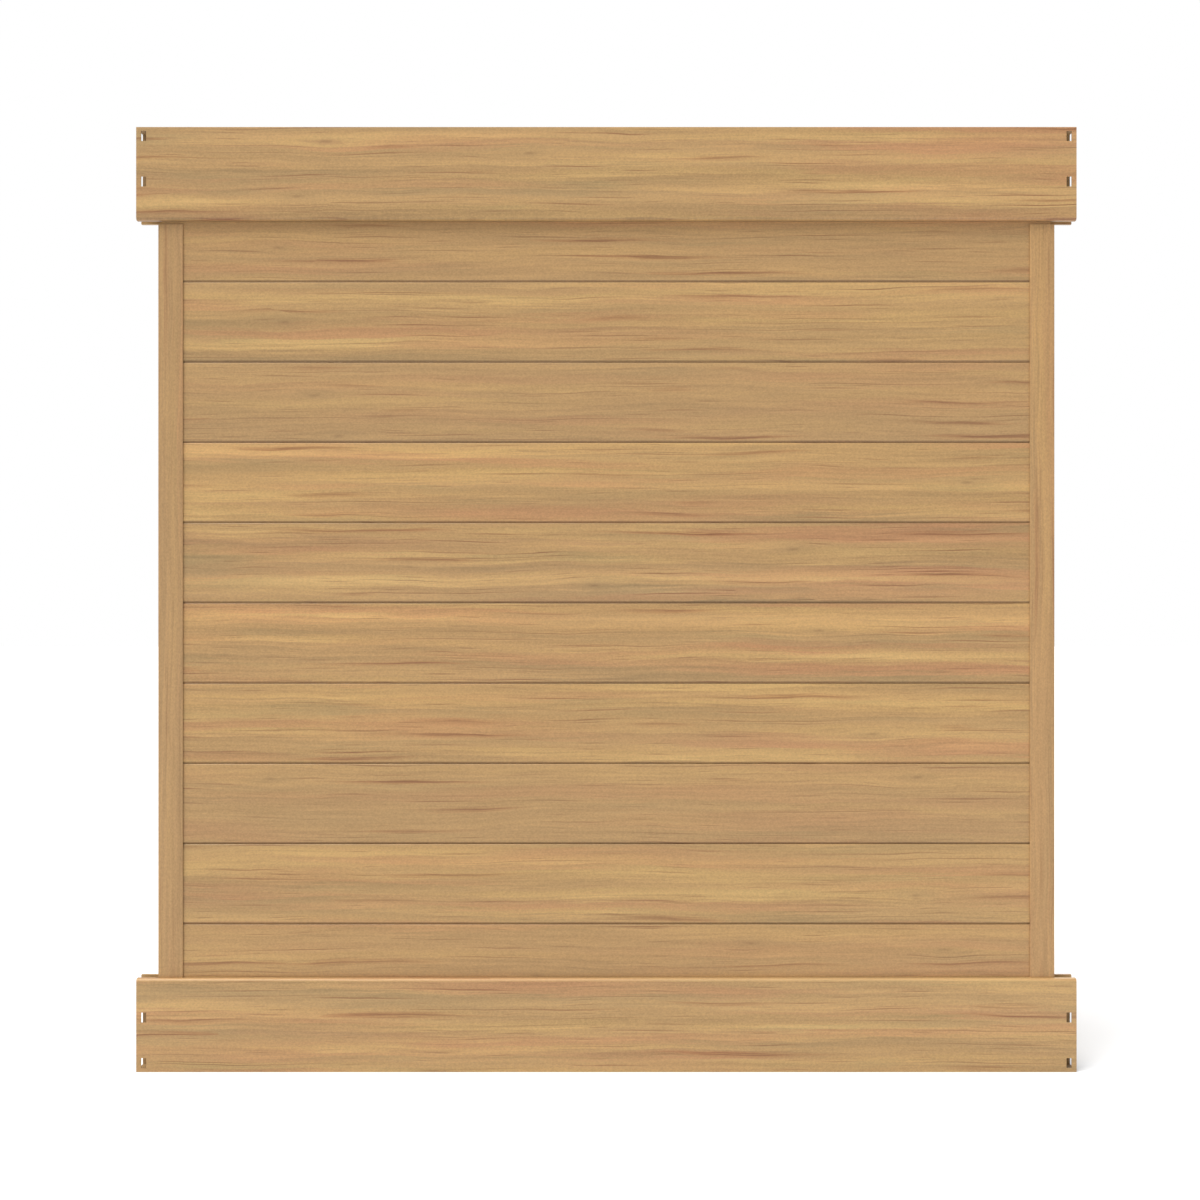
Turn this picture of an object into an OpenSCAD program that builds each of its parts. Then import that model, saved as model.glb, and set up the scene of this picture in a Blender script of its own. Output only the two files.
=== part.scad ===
// Vinyl privacy fence panel: ten tongue-and-groove boards laid in a stack between two pocketed
// rails, with a U-channel over the board ends at each post. Every profile is a hollow extrusion.
// Millimetres. X runs along the panel, Y through it with the front at -Y, Z up from the ground edge.

/* [Panel] */
// Clear gap between the two posts, which the outer faces of the channels fill
opening_w = 1700; // [1200:1:2400]
// Length of each rail end that goes into its post
rail_tenon = 39; // [32:0.5:60]
// Boards in the stack
board_count = 10; // [6:1:12]

/* [Boards] */
// Height of one board from its lower shoulder to its upper shoulder
board_exposure = 152.4; // [110:0.1:220]
// Thickness of a board
board_t = 22.2; // [18:0.1:26]
// Wall of the hollow board
board_wall = 1.4; // [1:0.1:2]
// Cross ribs inside a board
board_ribs = 3; // [2:1:5]
// Thickness of a cross rib
board_rib_t = 1.1; // [0.8:0.1:1.6]
// Thickness of the tongue on a board's upper edge
tongue_t = 12; // [9:0.1:13]
// Height of the tongue
tongue_h = 15; // [7:0.1:16]
// Height of the bevel along the lower edge of a board's face, which makes the dark line of a seam
bevel_h = 4.4; // [1.5:0.1:5]
// Depth of that bevel
bevel_d = 2.6; // [1:0.1:2.8]
// Height of the small bevel along the upper edge of the face
crown_h = 0.9; // [0.5:0.1:2]
// Depth of that bevel
crown_d = 0.8; // [0.5:0.1:1.6]

/* [Rails] */
// Height of a rail
rail_h = 176.3; // [150:0.1:220]
// Depth of a rail from its front to its back
rail_d = 50.8; // [44:0.1:60]
// Outer wall of a rail
rail_wall = 2.5; // [2:0.1:3.5]
// Thickness of the webs and pocket walls inside a rail
rail_web = 2.2; // [1.6:0.1:3]
// Depth of the pocket that takes the boards
pocket_depth = 52.3; // [30:0.1:58]
// Radius of the shoulders beside the pocket
shoulder_r = 5.8; // [4:0.1:8]
// Radius of the rail's other two edges
rail_edge_r = 0.6; // [0.4:0.1:2]

/* [Lock slots] */
// Width of a slot along the rail
slot_w = 9.8; // [7:0.1:12]
// Height of a slot
slot_h = 19; // [12:0.1:24]
// Rail end to the slots
slot_inset = 9.2; // [6:0.1:14]
// Plain edge of the rail to the nearer slot
slot_low = 7.6; // [6:0.1:12]
// Floor of the pocket to the further slot
slot_high = 11.5; // [8:0.1:18]

/* [Channels] */
// Width of a channel's flanges over the face of the boards
channel_flange = 46.7; // [30:0.1:70]
// Wall of a channel
channel_wall = 2.4; // [1.8:0.1:3]
// Radius of a channel's long edges
channel_edge_r = 0.8; // [0.4:0.1:1]
// Screw holes in the web of a channel
screw_count = 4; // [2:1:8]
// Diameter of a screw hole
screw_hole_d = 5; // [4:0.1:7]
// End of a channel to its first screw hole
screw_inset = 70; // [40:1:120]

/* [Stiffener] */
// Wall of the metal channel inside the bottom rail
stiffener_t = 1.6; // [1:0.1:2.5]
// Height of its flanges
stiffener_h = 42; // [25:0.5:50]
// Inside radius of its bends
stiffener_bend_r = 1.5; // [1:0.1:3]
// Rail end to the stiffener's end
stiffener_inset = 62; // [40:1:120]

/* [Drainage] */
// Diameter of a weep hole
weep_d = 4; // [3:0.1:8]
// Rail end to the outer weep holes
weep_inset = 289; // [150:1:400]

/* [Clearances] */
// Board face to pocket wall, each side
pocket_gap = 0.5; // [0.2:0.1:1]
// Board face to channel flange, each side
channel_gap = 0.8; // [0.2:0.1:1]
// Board end to channel web, which leaves room for heat and for a screw head
end_gap = 5; // [3:0.1:10]
// Top of a channel to the top rail
channel_top_gap = 5.5; // [1:0.1:12]
// Tongue to groove, each side
tongue_gap = 0.4; // [0.2:0.1:0.8]
// Tip of the tongue to the floor of the groove
tongue_tip_gap = 1; // [0.4:0.1:3]
// Stiffener to the walls of the rail, each side
stiffener_gap = 0.4; // [0.2:0.1:1]

/* [Hidden] */
$fn = 48;
board_names = [for (i = [1:board_count]) str("board_", i < 10 ? "0" : "", i)];

// Colours of the vinyl and of the stiffener
rail_colour = [0.75, 0.60, 0.43];
board_colour = [0.74, 0.60, 0.42];
channel_colour = [0.73, 0.59, 0.42];
metal_colour = [0.72, 0.74, 0.75];

// How far a cut runs past what it cuts
over = 1;

// Rails: the pocket's place in the profile, and the rail's place in the panel
rail_len = opening_w + 2 * rail_tenon;
pocket_w = board_t + 2 * pocket_gap;
pocket_floor = rail_h - pocket_depth;
upper_slot_z = pocket_floor - slot_high - slot_h;
mid_web_z = (slot_low + slot_h + upper_slot_z) / 2;

// Boards: the stack stands on the floor of the bottom rail's pocket, and carries the top rail
board_len = opening_w - 2 * (channel_wall + end_gap);
groove_w = tongue_t + 2 * tongue_gap;
groove_h = tongue_h + tongue_tip_gap;
stack_h = board_count * board_exposure + tongue_h;
panel_h = 2 * pocket_floor + stack_h;

// Channels: they stand on the shoulders of the bottom rail
channel_slot = board_t + 2 * channel_gap;
channel_d = channel_slot + 2 * channel_wall;
channel_len = panel_h - 2 * rail_h - channel_top_gap;
screw_pitch = (channel_len - 2 * screw_inset) / (screw_count - 1);

// Stiffener: it lies on the floor of the bottom rail, inside both walls
stiffener_w = rail_d - 2 * (rail_wall + stiffener_gap);
stiffener_len = rail_len - 2 * stiffener_inset;

// A bar seen from its end, with one radius on its two lower edges and another on its two upper ones
module bar_profile(w, h, low_r, high_r) {
    translate([-w / 2 + low_r, 0]) square([w - 2 * low_r, h / 2]);
    translate([-w / 2, low_r]) square([w, h - low_r - high_r]);
    translate([-w / 2 + high_r, h / 2]) square([w - 2 * high_r, h / 2]);
    for (side = [-1, 1]) {
        translate([side * (w / 2 - low_r), low_r]) circle(low_r);
        translate([side * (w / 2 - high_r), h - high_r]) circle(high_r);
    }
}

// A block about the middle of the profile, from one height to another
module middle_block(w, from_z, to_z) {
    translate([-w / 2, from_z]) square([w, to_z - from_z]);
}

// Runs a profile, drawn as depth and height, along the panel
module run_along(length) {
    rotate([90, 0, 90]) linear_extrude(height = length, center = true) children();
}

// Rail profile: outer wall, two webs across, and the pocket between its own two walls
module rail_profile() {
    difference() {
        bar_profile(rail_d, rail_h, rail_edge_r, shoulder_r);
        difference() {
            translate([0, rail_wall])
                bar_profile(rail_d - 2 * rail_wall, rail_h - 2 * rail_wall, rail_edge_r, shoulder_r - rail_wall);
            middle_block(rail_d, mid_web_z - rail_web / 2, mid_web_z + rail_web / 2);
            middle_block(rail_d, pocket_floor - rail_web, pocket_floor);
            middle_block(pocket_w + 2 * rail_web, pocket_floor, rail_h);
        }
        middle_block(pocket_w, pocket_floor, rail_h + over);
    }
}

// Lock slots: two above each other at each end of the rail, through the front and the back
module lock_slots() {
    for (end = [-1, 1], foot = [slot_low, upper_slot_z]) {
        translate([end * (rail_len / 2 - slot_inset - slot_w / 2), 0, foot + slot_h / 2])
            cube([slot_w, rail_d + 2 * over, slot_h], center = true);
    }
}

// Weep holes: from the pocket down through everything below it
module weep_holes() {
    for (place = [-1, 0, 1]) {
        translate([place * (rail_len / 2 - weep_inset), 0, -over])
            cylinder(d = weep_d, h = pocket_floor + 2 * over);
    }
}

// The rail that both rails are cut from, with its pocket up and its plain edge on the ground
module rail() {
    difference() {
        run_along(rail_len) rail_profile();
        lock_slots();
    }
}

module bottom_rail() {
    color(rail_colour) difference() {
        rail();
        weep_holes();
    }
}

module top_rail() {
    color(rail_colour) translate([0, 0, panel_h]) mirror([0, 0, 1]) rail();
}

// Stiffener profile: sheet bent to a channel, drawn as a closed bar and cut off at its flanges' tips
module stiffener_profile() {
    inner_w = stiffener_w - 2 * stiffener_t;
    outer_r = stiffener_bend_r + stiffener_t;
    difference() {
        bar_profile(stiffener_w, 2 * stiffener_h, outer_r, outer_r);
        translate([0, stiffener_t])
            bar_profile(inner_w, 2 * stiffener_h, stiffener_bend_r, stiffener_bend_r);
        middle_block(rail_d, stiffener_h, 2 * stiffener_h + over);
    }
}

module bottom_rail_stiffener() {
    color(metal_colour) translate([0, 0, rail_wall]) difference() {
        run_along(stiffener_len) stiffener_profile();
        weep_holes();
    }
}

// Outline of a board: both faces bevelled along both edges, and the tongue on top
module board_outline() {
    face = board_t / 2;
    foot = face - bevel_d;
    crown = face - crown_d;
    polygon([
        [-foot, 0], [foot, 0],
        [face, bevel_h], [face, board_exposure - crown_h],
        [crown, board_exposure], [-crown, board_exposure],
        [-face, board_exposure - crown_h], [-face, bevel_h]
    ]);
    middle_block(tongue_t, board_exposure - crown_h, board_exposure + tongue_h);
}

// Inside of a board: one hollow around the groove and up into the tongue, with the ribs across it
module board_hollow() {
    low = bevel_h + board_wall;
    high = board_exposure - crown_h - board_wall;
    groove_top = groove_h + board_wall;
    cell = (high - groove_top) / (board_ribs + 1);
    difference() {
        middle_block(board_t - 2 * board_wall, low, high);
        middle_block(groove_w + 2 * board_wall, 0, groove_top);
        for (i = [1:board_ribs]) {
            rib_z = groove_top + i * cell;
            middle_block(board_t, rib_z - board_rib_t / 2, rib_z + board_rib_t / 2);
        }
    }
    middle_block(tongue_t - 2 * board_wall, high - board_wall, board_exposure + tongue_h - board_wall);
}

module board_profile() {
    difference() {
        board_outline();
        board_hollow();
        middle_block(groove_w, -over, groove_h);
    }
}

module board(i) {
    color(board_colour) translate([0, 0, pocket_floor + i * board_exposure])
        run_along(board_len) board_profile();
}

// Channel profile in plan: web towards the post at zero, flanges reaching over the boards
module channel_profile() {
    r = channel_edge_r;
    difference() {
        translate([channel_flange / 2, -channel_d / 2]) bar_profile(channel_flange, channel_d, r, r);
        translate([channel_wall, -channel_slot / 2]) square([channel_flange, channel_slot]);
    }
}

module channel() {
    difference() {
        translate([0, 0, rail_h]) linear_extrude(height = channel_len) channel_profile();
        for (i = [0:screw_count - 1]) {
            translate([-over, 0, rail_h + screw_inset + i * screw_pitch])
                rotate([0, 90, 0]) cylinder(d = screw_hole_d, h = channel_wall + 2 * over);
        }
    }
}

module left_channel() {
    color(channel_colour) translate([-opening_w / 2, 0, 0]) channel();
}

module right_channel() {
    color(channel_colour) translate([opening_w / 2, 0, 0]) mirror([1, 0, 0]) channel();
}

bottom_rail();
bottom_rail_stiffener();
for (i = [0:board_count - 1]) board(i);
left_channel();
right_channel();
top_rail();
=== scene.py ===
import math
import bmesh
import bpy
from mathutils import Matrix, Vector


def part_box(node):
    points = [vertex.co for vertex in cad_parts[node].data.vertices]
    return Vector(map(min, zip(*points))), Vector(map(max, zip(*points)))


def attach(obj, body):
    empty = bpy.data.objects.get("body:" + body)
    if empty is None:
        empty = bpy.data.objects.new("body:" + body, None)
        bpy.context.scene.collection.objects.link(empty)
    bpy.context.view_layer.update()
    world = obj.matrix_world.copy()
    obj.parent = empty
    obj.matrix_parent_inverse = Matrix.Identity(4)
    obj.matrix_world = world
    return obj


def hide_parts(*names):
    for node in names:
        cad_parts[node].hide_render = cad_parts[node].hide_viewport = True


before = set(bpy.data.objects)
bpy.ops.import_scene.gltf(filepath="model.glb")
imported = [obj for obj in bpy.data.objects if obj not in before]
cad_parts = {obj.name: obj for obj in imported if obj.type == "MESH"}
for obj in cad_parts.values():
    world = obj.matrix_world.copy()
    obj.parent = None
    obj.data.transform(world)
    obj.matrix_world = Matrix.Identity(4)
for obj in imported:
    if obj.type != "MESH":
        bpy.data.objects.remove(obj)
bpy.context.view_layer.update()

# Camera: straight in front of the panel, level with its middle, about 3.3 m from its face.
# The small shift is the photograph's own framing.
CAMERA_PLACE = (0, -3.3634, 0.8935)
CAMERA_LENS = 52.97
CAMERA_SHIFT = (-0.0053, -0.0004)
bpy.ops.object.select_all(action="DESELECT")
bpy.ops.object.camera_add(location=CAMERA_PLACE, rotation=(math.pi / 2, 0, 0))
camera = bpy.context.object
camera.name = "camera"
camera.data.sensor_width = 36
camera.data.lens = CAMERA_LENS
camera.data.shift_x, camera.data.shift_y = CAMERA_SHIFT
bpy.context.scene.camera = camera


# Rails: hollow extrusions of woodgrain vinyl, 2 by 7 in, with a pocket for the boards between two
# rounded shoulders. Each end goes into a post, where tabs catch in two lock slots above each other.
RAIL_WALL = 0.0025
RAIL_WEB = 0.0022
POCKET_HALF = 0.0116
POCKET_DEPTH = 0.0523
SHOULDER_R = 0.0058
RAIL_EDGE_R = 0.0006
MID_WEB_Z = 0.06005
SLOT_SIZE = Vector((0.0098, 0.07, 0.019))
SLOT_INSET = 0.0092
SLOT_FEET = (0.0076, 0.0935)
WEEP_R = 0.002
WEEP_X = 0.6
CUT_PAST = 0.01     # how far a cutter reaches past what it cuts
TOUCH = 1e-4        # two places nearer than this are one
ALONG = 0.9         # a direction with more of an axis in it than this runs along that axis


def block(name, low, high):
    """A cube drawn out between two corners, with its place in its mesh."""
    low, high = Vector(low), Vector(high)
    bpy.ops.object.select_all(action="DESELECT")
    bpy.ops.mesh.primitive_cube_add(size=1, location=(low + high) / 2)
    piece = bpy.context.object
    piece.name = name
    piece.data.name = name
    piece.scale = high - low
    bpy.ops.object.transform_apply(location=True, rotation=True, scale=True)
    return piece


def pick(piece, kind, wanted):
    """Edit mode, with only those faces or edges selected that wanted(middle, direction) passes."""
    bpy.ops.object.select_all(action="DESELECT")
    bpy.context.view_layer.objects.active = piece
    piece.select_set(True)
    bpy.ops.object.mode_set(mode="EDIT")
    bpy.ops.mesh.select_mode(type=kind)
    bpy.ops.mesh.select_all(action="DESELECT")
    mesh = bmesh.from_edit_mesh(piece.data)
    if kind == "FACE":
        for facet in mesh.faces:
            facet.select_set(wanted(facet.calc_center_median(), facet.normal))
    else:
        for edge in mesh.edges:
            a, b = edge.verts[0].co, edge.verts[1].co
            edge.select_set(wanted((a + b) / 2, (b - a).normalized()))
    bmesh.update_edit_mesh(piece.data)


def round_edges(piece, radius, segments, wanted):
    """Rounds the picked edges over, as the extrusion die does."""
    pick(piece, "EDGE", wanted)
    bpy.ops.mesh.bevel(offset=radius, offset_type="OFFSET", segments=segments, profile=0.5,
                       affect="EDGES")
    bpy.ops.object.mode_set(mode="OBJECT")


def cut_out(piece, cutter):
    """Takes the cutter's shape out of the piece."""
    cut = piece.modifiers.new("cut", "BOOLEAN")
    cut.operation = "DIFFERENCE"
    cut.solver = "EXACT"
    cut.object = cutter
    bpy.context.view_layer.objects.active = piece
    bpy.ops.object.modifier_apply(modifier=cut.name)
    bpy.data.objects.remove(cutter)


def smooth(piece):
    """Smooth over the rounds, sharp at the corners."""
    bpy.ops.object.select_all(action="DESELECT")
    bpy.context.view_layer.objects.active = piece
    piece.select_set(True)
    bpy.ops.object.shade_smooth_by_angle(angle=math.radians(32))


def copy_of(piece, name, place):
    """A copy with its own mesh, put in its place by a matrix."""
    copy = piece.copy()
    copy.data = piece.data.copy()
    copy.name = name
    copy.data.name = name
    copy.data.transform(place)
    bpy.context.scene.collection.objects.link(copy)
    return copy


low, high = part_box("bottom_rail")
rail_top, rail_end = high.z, high.x
inner = high.y - RAIL_WALL
past = rail_end + CUT_PAST
pocket_floor = rail_top - POCKET_DEPTH
chamber_top = rail_top - RAIL_WALL
rail = block("bottom_rail_vinyl", low, high)
round_edges(rail, SHOULDER_R, 10, lambda m, d: abs(d.x) > ALONG and m.z > rail_top - TOUCH)
round_edges(rail, RAIL_EDGE_R, 3, lambda m, d: abs(d.x) > ALONG and m.z < TOUCH)

# the two chambers, one above the other, and the pocket over them
lower = block("cut", (-past, -inner, RAIL_WALL), (past, inner, MID_WEB_Z - RAIL_WEB / 2))
round_edges(lower, RAIL_EDGE_R, 2, lambda m, d: abs(d.x) > ALONG and m.z < RAIL_WALL + TOUCH)
cut_out(rail, lower)
cut_out(rail, block("cut", (-past, -inner, MID_WEB_Z + RAIL_WEB / 2),
                    (past, inner, pocket_floor - RAIL_WEB)))
cut_out(rail, block("cut", (-past, -POCKET_HALF, pocket_floor),
                    (past, POCKET_HALF, rail_top + CUT_PAST)))

# a narrow chamber at each side of the pocket, which follows the shoulder
for side in (-1, 1):
    near, far = sorted((side * (POCKET_HALF + RAIL_WEB), side * inner))
    narrow = block("cut", (-past, near, pocket_floor), (past, far, chamber_top))
    round_edges(narrow, SHOULDER_R - RAIL_WALL, 6,
                lambda m, d: (abs(d.x) > ALONG and abs(m.y) > inner - TOUCH
                              and m.z > chamber_top - TOUCH))
    cut_out(rail, narrow)

# the lock slots go through both side walls
for end in (-1, 1):
    for foot in SLOT_FEET:
        slot_x = end * (rail_end - SLOT_INSET - SLOT_SIZE.x / 2)
        middle = Vector((slot_x, 0, foot + SLOT_SIZE.z / 2))
        cut_out(rail, block("cut", middle - SLOT_SIZE / 2, middle + SLOT_SIZE / 2))

# the top rail is the same extrusion turned over, and only the bottom rail has weep holes
panel_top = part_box("top_rail")[1].z
turned = Matrix.Translation((0, 0, panel_top)) @ Matrix.Rotation(math.pi, 4, "X")
top_rail = copy_of(rail, "top_rail_vinyl", turned)
for x in (-WEEP_X, 0, WEEP_X):
    bpy.ops.object.select_all(action="DESELECT")
    bpy.ops.mesh.primitive_cylinder_add(vertices=24, radius=WEEP_R, depth=pocket_floor + CUT_PAST,
                                        location=(x, 0, pocket_floor / 2))
    cut_out(rail, bpy.context.object)


def tan(red, green, blue):
    """A screen colour from 0 to 255, as the light that a shader works with."""
    part = [c / 255 for c in (red, green, blue)]
    light = [c / 12.92 if c <= 0.04045 else ((c + 0.055) / 1.055) ** 2.4 for c in part]
    return tuple(light) + (1,)


def add_node(tree, kind, inputs, **settings):
    """A node with its settings made and its inputs set or linked."""
    made = tree.nodes.new(kind)
    for key, value in settings.items():
        setattr(made, key, value)
    for key, value in inputs.items():
        if isinstance(value, bpy.types.NodeSocket):
            tree.links.new(value, made.inputs[key])
        else:
            made.inputs[key].default_value = value
    return made


def ranged(tree, value, low, high, to_low, to_high):
    """A value that is carried over from one range to another."""
    inputs = dict(enumerate((value, low, high, to_low, to_high)))
    return add_node(tree, "ShaderNodeMapRange", inputs).outputs[0]


# The print of the woodgrain: bands from grey-olive over tan to straw with patches of pink and
# olive, marks with a dark heart and a lighter edge below, and a few knots.
BAND_TONES = ((0.30, tan(171, 139, 94)), (0.42, tan(184, 147, 98)), (0.50, tan(190, 151, 100)),
              (0.58, tan(196, 157, 102)), (0.70, tan(209, 171, 111)))
PINK = tan(190, 137, 95)
OLIVE = tan(162, 140, 95)
HEART = tan(108, 70, 48)
LIGHT_EDGE = tan(212, 175, 118)
KNOT_PATCH = tan(152, 128, 88)
KNOT_CORE = tan(122, 84, 56)
# the tone of the painted shade in the top rail's pocket mouth and in the boards' lower bevels
SHADE_TONE = tan(84, 58, 32)
# the tone of the painted highlight on the bottom rail's shoulders
HIGHLIGHT_TONE = tan(220, 176, 117)
NOISE_RANGE = (0.3, 0.7)        # most of a noise lies between these
SEED_ASIDE = 0.37       # how far a seed moves a pattern aside, for each step that it moves it on
WANDER = 0.024          # how far the grain strays on its way along the piece, in metres
WAVE = 0.006            # how far it shakes from side to side on the way, in metres
FEATHER = 0.04          # how ragged the edges of the bands are
PINK_RANGE = (0.5, 0.68)        # the part of its noise over which a patch of pink comes in
PINK_COVER = 0.7        # how much such a patch covers the bands
OLIVE_RANGE = (0.58, 0.75)
OLIVE_COVER = 0.45
STREAK_SHADE = 0.5      # light and dark from the fine streaks
SPECKLE_SHADE = 0.4     # light and dark from the sandy speckle
BROAD_FROM = 0.62       # bands that are stronger than this bring light and dark over the width
BROAD_SHADE = 1.9       # how much of it they bring
KNOTLESS = 0.78         # the share of places for a knot that stay without one
PARTING = 0.075         # how far the grain parts around a knot
PARTING_R = 0.45        # how far that reaches, and how large a knot is, as shares of such a place
PATCH_R = 0.15
CORE_R = 0.04
PATCH_COVER = 0.25      # how much a knot and its core cover the print
CORE_COVER = 0.38
# Each row is a kind of mark: how many places for one there are in a metre along and across the
# grain, its half length and half width as shares of such a place, the share of places that stay
# empty, a seed, how strong its heart is, and its colour.
MARKS = (
    (1.7, 26, 0.37, 0.14, 0.38, 3.7, 0.9, tan(170, 112, 70)),       # soft reddish streaks
    (2.6, 50, 0.36, 0.08, 0.38, 0.0, 0.75, tan(148, 94, 60)),       # thin slits
    (1.4, 76, 0.38, 0.08, 0.42, 8.3, 0.75, tan(146, 95, 61)),       # long, thinner slits
    (6.6, 90, 0.35, 0.11, 0.60, 6.2, 0.4, tan(148, 103, 66)),       # short dashes
)
SHORTEST = 0.25         # the shortest mark of a kind against the longest
FAINTEST = 0.3          # how strong the faintest one is, and how much more the strongest
STRONGER = 0.6
FADE = 0.4              # how much a mark fades towards one end
RAGGED = 3.0            # how ragged its sides are, in half widths
SOFT_SIDE = 0.85        # how wide its soft side is, in half widths
HEART_FALL = 4.0        # how quickly its heart falls off to the sides
EDGE_BELOW = 2.0        # how far below it the lighter edge runs, in half widths
EDGE_COVER = 0.4        # how much that covers the print
EMBOSS = 0.0004         # the depth of the emboss in metres
EMBOSS_STRENGTH = 0.35
MARK_DEPTH = 1.2        # the depth of the marks and of the speckle, against that of the streaks
SPECKLE_DEPTH = 0.25
ROUGHNESS = (0.47, 0.37)        # from the valleys between the streaks to their crests


def woodgrain(name, along, across, offset, tint, bands=1.0, slits=1.0, streaks=1.0):
    """Woodgrain in the cap layer of the vinyl, with its shallow emboss.

    The grain runs along one axis, and the offset says which part of it the piece shows. The tint
    multiplies its colour, and bands, slits and streaks say how strong those are.
    """
    finish = bpy.data.materials.new(name)
    finish.use_nodes = True
    tree = finish.node_tree
    shader = tree.nodes["Principled BSDF"]

    def sums(operation, *values, clamp=False):
        """A Math node."""
        inputs = dict(enumerate(values))
        made = add_node(tree, "ShaderNodeMath", inputs, operation=operation, use_clamp=clamp)
        return made.outputs[0]

    def blend(amount, first, second, mode="MIX"):
        """A Mix node for two colours, which are its inputs 6 and 7. The result is its output 2."""
        inputs = {"Factor": amount, 6: first, 7: second}
        made = add_node(tree, "ShaderNodeMix", inputs, data_type="RGBA", blend_type=mode)
        return made.outputs[2]

    where = add_node(tree, "ShaderNodeTexCoord", {})
    inputs = {"Vector": where.outputs["Object"], "Location": offset}
    place = add_node(tree, "ShaderNodeMapping", inputs)
    axes = add_node(tree, "ShaderNodeSeparateXYZ", {"Vector": place.outputs[0]})
    run = axes.outputs[along]
    side = sums("ADD", axes.outputs[across], axes.outputs["Y"])

    def stretched(run_scale, side_scale, seed, sideways):
        """The place on the face, scaled to so many patches a metre along and across the grain.

        The seed moves it on, so that no two patterns are alike.
        """
        flat = add_node(tree, "ShaderNodeCombineXYZ", {"X": run, "Y": sideways, "Z": 0.0})
        inputs = {0: flat.outputs[0], 1: (run_scale, side_scale, 0),
                  2: (seed, seed * SEED_ASIDE, seed)}
        return add_node(tree, "ShaderNodeVectorMath", inputs, operation="MULTIPLY_ADD").outputs[0]

    def cloud(run_scale, side_scale, seed, detail=2.0, roughness=0.5, sideways=side):
        """A noise drawn out along the grain."""
        inputs = {"Vector": stretched(run_scale, side_scale, seed, sideways), "Scale": 1.0,
                  "Detail": detail, "Roughness": roughness}
        return add_node(tree, "ShaderNodeTexNoise", inputs).outputs[0]

    def swayed(base, noise, amount):
        """A value that a noise moves up and down."""
        return sums("MULTIPLY_ADD", sums("SUBTRACT", noise, 0.5), amount, base)

    def scattered(run_scale, side_scale, seed, sideways):
        """Spots over the face: the way to the nearest one, its distance and its own chances."""
        at = stretched(run_scale, side_scale, seed, sideways)
        cell = add_node(tree, "ShaderNodeTexVoronoi", {"Vector": at, "Scale": 1.0},
                        voronoi_dimensions="2D")
        way = add_node(tree, "ShaderNodeVectorMath", {0: at, 1: cell.outputs["Position"]},
                       operation="SUBTRACT")
        way = add_node(tree, "ShaderNodeSeparateXYZ", {"Vector": way.outputs[0]})
        chance = add_node(tree, "ShaderNodeSeparateColor", {"Color": cell.outputs["Color"]})
        return way.outputs, cell.outputs["Distance"], chance.outputs

    def within(distance, radius):
        """1 at a knot's middle, falling to 0 at the radius, and 0 where there is no knot."""
        share = sums("SUBTRACT", 1.0, sums("DIVIDE", distance, radius), clamp=True)
        return sums("MULTIPLY", share, knotted)

    # the grain wanders to and fro on its way along the piece, and parts around the knots
    slow = cloud(run_scale=2.4, side_scale=7, seed=3.1)
    wander = sums("MULTIPLY_ADD", slow, WANDER, side)
    knot_way, knot_distance, knot_chance = scattered(run_scale=2.6, side_scale=11, seed=2.8,
                                                     sideways=wander)
    knotted = sums("GREATER_THAN", knot_chance[0], KNOTLESS)
    near_knot = within(knot_distance, PARTING_R)
    near_knot = sums("MULTIPLY", near_knot, near_knot)
    parted = sums("MULTIPLY_ADD", sums("MULTIPLY", knot_way["Y"], near_knot), -PARTING, wander)
    quick = cloud(run_scale=9, side_scale=30, seed=8.7)
    wave = sums("MULTIPLY_ADD", quick, WAVE, parted)

    # fine streaks, which also feather the edges of all that is broader
    streak = cloud(run_scale=5.0, side_scale=180, seed=2.3, detail=4, roughness=0.6, sideways=wave)
    feathered = swayed(wave, streak, FEATHER)

    # the bands, and the patches of pink and olive over them
    broken = cloud(run_scale=1.2, side_scale=34, seed=1.3, detail=4, roughness=0.52,
                   sideways=feathered)
    band = add_node(tree, "ShaderNodeValToRGB", {"Fac": broken})
    stops = band.color_ramp.elements
    while len(stops) < len(BAND_TONES):
        stops.new(0.5)
    for stop, (position, tone) in zip(stops, BAND_TONES):
        stop.position = 0.5 + (position - 0.5) / bands
        stop.color = tone
    pink = cloud(run_scale=1.1, side_scale=28, seed=5.9, detail=3, sideways=feathered)
    pink = ranged(tree, pink, *PINK_RANGE, 0.0, PINK_COVER * bands)
    colour = blend(pink, band.outputs[0], PINK)
    olive = cloud(run_scale=2.4, side_scale=38, seed=7.7, detail=3, sideways=feathered)
    olive = ranged(tree, olive, *OLIVE_RANGE, 0.0, OLIVE_COVER * bands)
    colour = blend(olive, colour, OLIVE)

    # light and dark: the streaks, a slow change of shade over the width, and the sandy speckle
    speckle = cloud(run_scale=260, side_scale=380, seed=4.4, detail=1)
    broad = cloud(run_scale=0.3, side_scale=24, seed=9.4, sideways=wander)
    light = swayed(1.0, streak, STREAK_SHADE * streaks)
    light = swayed(light, broad, BROAD_SHADE * max(0.0, bands - BROAD_FROM))
    light = swayed(light, speckle, SPECKLE_SHADE)
    grey = add_node(tree, "ShaderNodeCombineColor", {0: light, 1: light, 2: light})
    colour = blend(1.0, colour, grey.outputs[0], "MULTIPLY")

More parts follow.
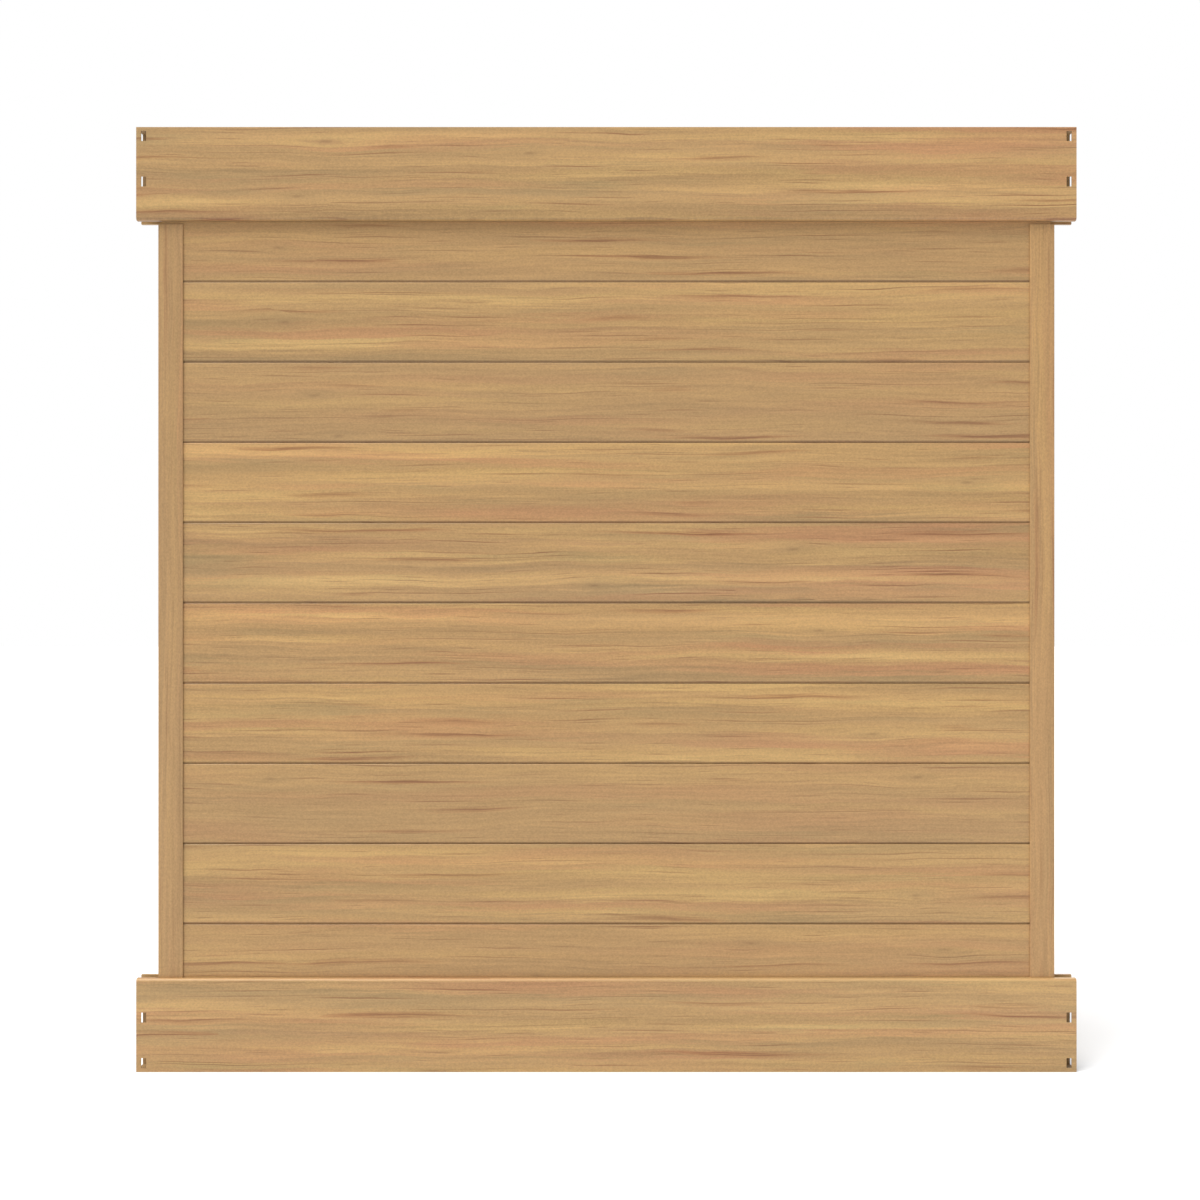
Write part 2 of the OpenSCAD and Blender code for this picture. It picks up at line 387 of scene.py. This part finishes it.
    # the marks are ragged lenses along the grain
    depth = 0.0
    for run_scale, side_scale, half_run, half_side, empty, seed, heart, tone in MARKS:
        way, _, chance = scattered(run_scale, side_scale, seed, wave)
        reach = sums("MULTIPLY_ADD", chance[1], half_run * (1 - SHORTEST), half_run * SHORTEST)
        reached = sums("DIVIDE", way["X"], reach)
        width = sums("MULTIPLY_ADD", sums("MULTIPLY", reached, reached), -half_side, half_side)
        off = swayed(way["Y"], streak, RAGGED * half_side)
        dark = sums("SUBTRACT", width, sums("ABSOLUTE", off))
        dark = sums("DIVIDE", dark, SOFT_SIDE * half_side, clamp=True)
        edge = sums("ABSOLUTE", sums("ADD", off, EDGE_BELOW * half_side))
        edge = sums("DIVIDE", sums("SUBTRACT", width, edge), half_side, clamp=True)
        one_end = sums("SIGN", sums("SUBTRACT", chance[2], 0.5))
        fade = sums("MULTIPLY_ADD", sums("MULTIPLY", reached, one_end), FADE, 1 - FADE)
        there = sums("MULTIPLY", sums("GREATER_THAN", chance[0], empty), fade)
        strength = sums("MULTIPLY_ADD", chance[1], STRONGER * slits, FAINTEST * slits)
        strength = sums("MULTIPLY", there, strength)
        centre = sums("MULTIPLY", sums("POWER", dark, HEART_FALL), strength)
        dark = sums("MULTIPLY", dark, strength)
        edge = sums("MULTIPLY", edge, strength)
        colour = blend(dark, colour, tone)
        colour = blend(sums("MULTIPLY", centre, heart), colour, HEART)
        colour = blend(sums("MULTIPLY", edge, EDGE_COVER), colour, LIGHT_EDGE)
        depth = sums("MAXIMUM", depth, dark)

    # the knots themselves, a greyer patch around a dark core
    patch, core = within(knot_distance, PATCH_R), within(knot_distance, CORE_R)
    colour = blend(sums("MULTIPLY", patch, PATCH_COVER * slits), colour, KNOT_PATCH)
    colour = blend(sums("MULTIPLY", core, CORE_COVER * slits), colour, KNOT_CORE)

    # the attributes say how much painted shade darkens a face below its print, and how much painted
    # highlight lightens it
    painted_shade = add_node(tree, "ShaderNodeAttribute", {}, attribute_name="painted_shade")
    colour = blend(painted_shade.outputs["Fac"], colour, SHADE_TONE)
    # painted highlight, which lightens the bottom rail's shoulders
    painted_highlight = add_node(tree, "ShaderNodeAttribute", {}, attribute_name="painted_highlight")
    colour = blend(painted_highlight.outputs["Fac"], colour, HIGHLIGHT_TONE)
    colour = blend(1.0, colour, (*tint, 1), "MULTIPLY")
    tree.links.new(colour, shader.inputs["Base Color"])

    height = sums("MULTIPLY_ADD", speckle, SPECKLE_DEPTH, streak)
    height = sums("MULTIPLY_ADD", depth, -MARK_DEPTH, height)
    inputs = {"Height": height, "Strength": EMBOSS_STRENGTH, "Distance": EMBOSS}
    emboss = add_node(tree, "ShaderNodeBump", inputs)
    tree.links.new(emboss.outputs[0], shader.inputs["Normal"])
    sheen = ranged(tree, streak, *NOISE_RANGE, *ROUGHNESS)
    tree.links.new(sheen, shader.inputs["Roughness"])
    shader.inputs["IOR"].default_value = 1.5
    return finish


# the core's tones, darker than the cap's print as painted shade for the chambers' insides
CORE_SHADE_TONES = (tan(152, 119, 76), tan(164, 130, 84))


def shaded_core_vinyl():
    """The plain tan vinyl under the cap layer, dull and slightly cloudy, as inside a rail. Its tone
    is darker than the cap's, a painted shade for the insides of the chambers.
    """
    core = bpy.data.materials.new("shaded_core_vinyl")
    core.use_nodes = True
    tree = core.node_tree
    shader = tree.nodes["Principled BSDF"]
    where = add_node(tree, "ShaderNodeTexCoord", {})
    inputs = {"Vector": where.outputs["Object"], "Scale": 60.0, "Detail": 3.0}
    cloudy = add_node(tree, "ShaderNodeTexNoise", inputs)
    tone = add_node(tree, "ShaderNodeValToRGB", {"Fac": cloudy.outputs[0]})
    for stop, shade in zip(tone.color_ramp.elements, CORE_SHADE_TONES):
        stop.color = shade
    tree.links.new(tone.outputs[0], shader.inputs["Base Color"])
    shader.inputs["Roughness"].default_value = 0.65
    return core


def finish_piece(piece, node, slot, *materials):
    """Gives a piece its finish, and lets it stand for its node of the frame."""
    piece.data.materials.clear()
    for material in materials:
        piece.data.materials.append(material)
    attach(piece, "root")
    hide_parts(node)


# painted shade darkens the mouth of the top rail's pocket, and a painted highlight lightens the
# bottom rail's shoulders; the core vinyl shows inside the chambers and at the cut ends, in a tone
# darker than the cap that paints the chambers' shade
MOUTH_SHADE = 0.3
SHOULDER_HIGHLIGHT = 0.32
SHOULDER_TURN = (0.1, 0.99)     # how upright the normals on a shoulder's round are
core = shaded_core_vinyl()
for piece, node, is_top, offset, tint in (
        (rail, "bottom_rail", False, (3.3, 0.0, 1.31), (1.051, 1.088, 1.126)),
        (top_rail, "top_rail", True, (7.9, 0.0, 4.17), (1.029, 1.044, 1.078))):
    smooth(piece)
    grain = woodgrain(node + "_woodgrain", "X", "Z", offset, tint)
    finish_piece(piece, node, "rail_vinyl", grain, core)
    painted_shades = piece.data.attributes.new("painted_shade", "FLOAT", "FACE")
    highlights = piece.data.attributes.new("painted_highlight", "FLOAT", "FACE")
    for painted_shade, highlight, facet in zip(painted_shades.data, highlights.data, piece.data.polygons):
        depth = abs(facet.center.y)
        level = panel_top - facet.center.z if is_top else facet.center.z
        in_pocket = depth < POCKET_HALF + TOUCH and level > pocket_floor - TOUCH
        in_chamber = (depth < inner + TOUCH and not in_pocket
                      and RAIL_WALL - TOUCH < level < chamber_top + TOUCH)
        at_end = abs(facet.normal.x) > ALONG
        facet.material_index = 1 if in_chamber or at_end else 0
        at_mouth = in_pocket or level > rail_top - TOUCH
        on_round = SHOULDER_TURN[0] < abs(facet.normal.z) < SHOULDER_TURN[1]
        on_shoulder = on_round and level > rail_top - SHOULDER_R
        painted_shade.value = MOUTH_SHADE if is_top and at_mouth else 0.0
        highlight.value = SHOULDER_HIGHLIGHT if on_shoulder and not is_top else 0.0


# Stiffener: a channel bent from aluminium sheet, left as it came from the mill. It lies inside
# the bottom rail and carries the boards. It keeps the shape of the frame, with the faint lines of
# rolling along it.
ROLLED_DARK = (0.54, 0.55, 0.56, 1)
ROLLED_LIGHT = (0.66, 0.67, 0.68, 1)
ROLLED_SCALE = (3.0, 600.0, 600.0)
ROLLED_ROUGHNESS = (0.3, 0.42)
aluminium = bpy.data.materials.new("stiffener_aluminium")
aluminium.use_nodes = True
tree = aluminium.node_tree
where = add_node(tree, "ShaderNodeTexCoord", {})
inputs = {"Vector": where.outputs["Object"], "Scale": ROLLED_SCALE}
drawn = add_node(tree, "ShaderNodeMapping", inputs)
inputs = {"Vector": drawn.outputs[0], "Scale": 1.0, "Detail": 3.0}
lines = add_node(tree, "ShaderNodeTexNoise", inputs).outputs[0]
tone = add_node(tree, "ShaderNodeValToRGB", {"Fac": lines})
tone.color_ramp.elements[0].color = ROLLED_DARK
tone.color_ramp.elements[1].color = ROLLED_LIGHT
metal_shader = tree.nodes["Principled BSDF"]
tree.links.new(tone.outputs[0], metal_shader.inputs["Base Color"])
dull = ranged(tree, lines, *NOISE_RANGE, *ROLLED_ROUGHNESS)
tree.links.new(dull, metal_shader.inputs["Roughness"])
metal_shader.inputs["Metallic"].default_value = 1.0
for metal_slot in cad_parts["bottom_rail_stiffener"].material_slots:
    metal_slot.material = aluminium


# Boards: ten vinyl extrusions, 7/8 in thick with 6 in to view. The tongue on each goes into the
# groove of the next, shoulder to shoulder, and the bevel along the lower edge, darkened with
# painted shade, leaves a dark line over the next board.
BEVEL_H = 0.0044
BEVEL_D = 0.0026
CROWN_H = 0.0009
CROWN_D = 0.0008
BOARD_EDGE_R = 0.0003
TONGUE_HALF = 0.006
TONGUE_H = 0.015
GROOVE_HALF = 0.0064
GROOVE_H = 0.016
# how much painted shade darkens the lower bevels, where the groove lies in shade
BEVEL_SHADE = 0.46
BEVEL_TURN = (-0.9, -0.3)       # how upright the normals of the lower bevels are
BOARDS = 10
low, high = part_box("board_01")
board_h = high.z - TONGUE_H - low.z
face = high.y
board = block("board_01_vinyl", low, (high.x, high.y, low.z + board_h))
for way, level, set_back in ((-1, BEVEL_H, BEVEL_D), (1, board_h - CROWN_H, CROWN_D)):
    pick(board, "FACE", lambda m, n: True)
    bpy.ops.mesh.bisect(plane_co=(0, 0, low.z + level), plane_no=(0, 0, 1))
    bpy.ops.object.mode_set(mode="OBJECT")
    pick(board, "FACE", lambda m, n: n.z * way > ALONG)
    bpy.ops.transform.resize(value=(1, 1 - set_back / face, 1), center_override=(0, 0, 0))
    bpy.ops.object.mode_set(mode="OBJECT")
for way, strip, height in ((1, TONGUE_HALF, TONGUE_H), (-1, GROOVE_HALF, GROOVE_H)):
    for edge_y in (-strip, strip):
        pick(board, "FACE", lambda m, n: n.z * way > ALONG)
        bpy.ops.mesh.bisect(plane_co=(0, edge_y, 0), plane_no=(0, 1, 0))
        bpy.ops.object.mode_set(mode="OBJECT")
    pick(board, "FACE", lambda m, n: n.z * way > ALONG and abs(m.y) < TOUCH)
    bpy.ops.mesh.extrude_region_move(TRANSFORM_OT_translate={"value": (0, 0, height)})
    bpy.ops.object.mode_set(mode="OBJECT")
round_edges(board, BOARD_EDGE_R, 2, lambda m, d: abs(d.x) > ALONG and abs(m.y) > face - TOUCH)
smooth(board)
# painted shade on the faces of the lower bevels
painted_shades = board.data.attributes.new("painted_shade", "FLOAT", "FACE")
for painted_shade, facet in zip(painted_shades.data, board.data.polygons):
    painted_shade.value = BEVEL_SHADE if BEVEL_TURN[0] < facet.normal.z < BEVEL_TURN[1] else 0.0
boards = [board]
for i in range(1, BOARDS):
    lifted = Matrix.Translation((0, 0, i * board_h))
    boards.append(copy_of(board, f"board_{i + 1:02d}_vinyl", lifted))

# each board is cut from another place in the grain, with its own shade and its own contrast
BOARD_TINTS = (
    (0.949, 0.956, 0.984), (0.980, 1.006, 1.011), (0.949, 0.969, 1.001), (1.005, 1.014, 1.009),
    (1.071, 1.067, 1.073), (0.941, 0.948, 0.987), (1.037, 1.046, 1.035), (0.931, 0.944, 0.995),
    (0.987, 1.008, 1.027), (0.981, 0.983, 1.008),
)
BOARD_BANDS = (0.6, 0.87, 0.5, 0.95, 1.05, 1.05, 0.95, 0.5, 0.87, 0.65)
LEAST_SLITS = 0.9
GRAIN_START = 0.9
GRAIN_STEP = (2.37, 1.83)
for i, (each, tint, bands) in enumerate(zip(boards, BOARD_TINTS, BOARD_BANDS)):
    node = f"board_{i + 1:02d}"
    offset = (GRAIN_STEP[0] * i + GRAIN_START, 0.0, GRAIN_STEP[1] * i)
    slits = max(bands, LEAST_SLITS)
    finish_piece(each, node, "board_vinyl",
                 woodgrain(node + "_woodgrain", "X", "Z", offset, tint, bands, slits))


# Channels: vinyl U-channels that stand on the bottom rail against the posts, over the ends of the
# boards. Each is fixed to its post by four screws through its web. Their grain is calmer.
CHANNEL_WALL = 0.0024
CHANNEL_R = 0.0008
SCREW_R = 0.0025
SCREW_INSET = 0.07
SCREWS = 4
CHANNEL_BANDS = 0.47
CHANNEL_SLITS = 0.5
CHANNEL_STREAKS = 1.2
low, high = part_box("left_channel")
left = block("left_channel_vinyl", low, high)
round_edges(left, CHANNEL_R, 4, lambda m, d: abs(d.z) > ALONG)
cut_out(left, block("cut", (low.x + CHANNEL_WALL, low.y + CHANNEL_WALL, low.z - CUT_PAST),
                    (high.x + CUT_PAST, high.y - CHANNEL_WALL, high.z + CUT_PAST)))
pitch = (high.z - low.z - 2 * SCREW_INSET) / (SCREWS - 1)
for i in range(SCREWS):
    bpy.ops.object.select_all(action="DESELECT")
    bpy.ops.mesh.primitive_cylinder_add(vertices=32, radius=SCREW_R, depth=CUT_PAST,
                                        location=(low.x, 0, low.z + SCREW_INSET + i * pitch),
                                        rotation=(0, math.pi / 2, 0))
    cut_out(left, bpy.context.object)
right = copy_of(left, "right_channel_vinyl", Matrix.Rotation(math.pi, 4, "Z"))
for each, node, offset, tint in (
        (left, "left_channel", (0.55, 0.0, 9.2), (0.927, 0.927, 0.983)),
        (right, "right_channel", (0.21, 0.0, 5.6), (0.972, 0.947, 0.979))):
    smooth(each)
    grain = woodgrain(node + "_woodgrain", "Z", "X", offset, tint,
                      CHANNEL_BANDS, CHANNEL_SLITS, CHANNEL_STREAKS)
    finish_piece(each, node, "channel_vinyl", grain)


# Floor and light: a pale floor and background, soft light from above and a little from the left.
# The floor glows a little for the camera alone, so that it stays pale and keeps its soft shadow.
FLOOR_SIZE = 60
FLOOR_SHADE = (0.8, 0.8, 0.8, 1)
FLOOR_GLOW = 0.22
WHITE = (1, 1, 1, 1)
SKY_LIGHT = 0.367
SKY_SEEN = 1.0
# each sun's strength, the angle that it spreads over, its tilt from straight down and its turn
SUNS = (("key", 3.02, 40, 28, -50), ("fill_behind", 0.99, 60, 50, 160))
bpy.ops.object.select_all(action="DESELECT")
bpy.ops.mesh.primitive_plane_add(size=FLOOR_SIZE, location=(0, 0, 0))
floor = bpy.context.object
floor.name = "floor"
pale = bpy.data.materials.new("floor_pale")
pale.use_nodes = True
tree = pale.node_tree
pale_shader = tree.nodes["Principled BSDF"]
pale_shader.inputs["Base Color"].default_value = FLOOR_SHADE
pale_shader.inputs["Roughness"].default_value = 1.0
pale_shader.inputs["Specular IOR Level"].default_value = 0.0
seen = add_node(tree, "ShaderNodeLightPath", {})
inputs = {0: seen.outputs["Is Camera Ray"], 1: FLOOR_GLOW}
strength = add_node(tree, "ShaderNodeMath", inputs, operation="MULTIPLY")
glow = add_node(tree, "ShaderNodeEmission", {"Color": WHITE, "Strength": strength.outputs[0]})
both = add_node(tree, "ShaderNodeAddShader", {0: pale_shader.outputs[0], 1: glow.outputs[0]})
tree.links.new(both.outputs[0], tree.nodes["Material Output"].inputs["Surface"])
floor.data.materials.append(pale)

for name, energy, spread, tilt, turn in SUNS:
    bpy.ops.object.light_add(type="SUN", location=(0, 0, 4))
    lamp = bpy.context.object
    lamp.name = name
    lamp.data.energy = energy
    lamp.data.angle = math.radians(spread)
    lamp.rotation_euler = (math.radians(tilt), 0, math.radians(turn))

world = bpy.context.scene.world or bpy.data.worlds.new("world")
bpy.context.scene.world = world
world.use_nodes = True
tree = world.node_tree
tree.nodes.clear()
seen = add_node(tree, "ShaderNodeLightPath", {})
around = add_node(tree, "ShaderNodeBackground", {"Color": WHITE, "Strength": SKY_LIGHT})
behind = add_node(tree, "ShaderNodeBackground", {"Color": WHITE, "Strength": SKY_SEEN})
inputs = {0: seen.outputs["Is Camera Ray"], 1: around.outputs[0], 2: behind.outputs[0]}
mixed = add_node(tree, "ShaderNodeMixShader", inputs)
add_node(tree, "ShaderNodeOutputWorld", {"Surface": mixed.outputs[0]})
bpy.context.scene.view_settings.view_transform = "Standard"
